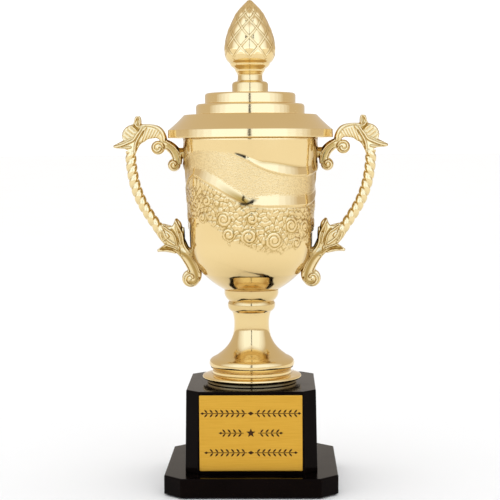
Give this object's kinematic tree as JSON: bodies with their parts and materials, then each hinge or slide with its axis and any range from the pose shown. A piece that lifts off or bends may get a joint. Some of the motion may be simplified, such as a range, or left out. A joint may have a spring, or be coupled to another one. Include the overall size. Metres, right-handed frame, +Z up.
{
  "type": "cup trophy",
  "caption": "Gold two-handled cup with a lift-off lid and finial, on a stepped black plinth with a plain plaque.",
  "frame": {"origin": "centre of the felt's underside, where the trophy stands", "axes": "+Z up along the cup's axis, +X towards the right handle, the plaque faces -Y"},
  "size_m": [0.1708, 0.105, 0.3],
  "materials": {
    "gold": "mirror-bright pale gold plating",
    "plaque_gold": "satin brushed gold",
    "plinth_black": "glossy black-brown moulding",
    "felt": "dark felt",
    "tape": "foam tape",
    "ballast_iron": "rough casting",
    "fastener_steel": "zinc-plated steel"
  },
  "bodies": {
    "cup": {"felt_pad": "felt", "base_plate": "plinth_black", "plinth_block": "plinth_black", "ballast": "ballast_iron", "plaque": "plaque_gold", "plaque_tape": "tape", "foot_flange": "gold", "stem_bell": "gold", "stem_knop": "gold", "bowl_collar": "gold", "bowl": "gold", "handle_left": "gold", "handle_right": "gold", "handle_screws_left": "fastener_steel", "handle_screws_right": "fastener_steel", "handle_washers_left": "fastener_steel", "handle_washers_right": "fastener_steel", "tie_rod": "fastener_steel", "base_washer": "fastener_steel", "base_nut": "fastener_steel", "bowl_washer": "fastener_steel", "bowl_nut": "fastener_steel"},
    "lid": {"lid_brim": "gold", "lid_lower_tier": "gold", "lid_upper_tier": "gold", "finial_base": "gold", "finial_bud": "gold", "lid_stud": "fastener_steel", "lid_washer": "fastener_steel", "lid_nut": "fastener_steel"}
  },
  "joints": [
    {"name": "lid_lift", "type": "slide", "parent": "cup", "child": "lid", "axis": [0, 0, 1], "range_m": [0, 0.06]}
  ]
}
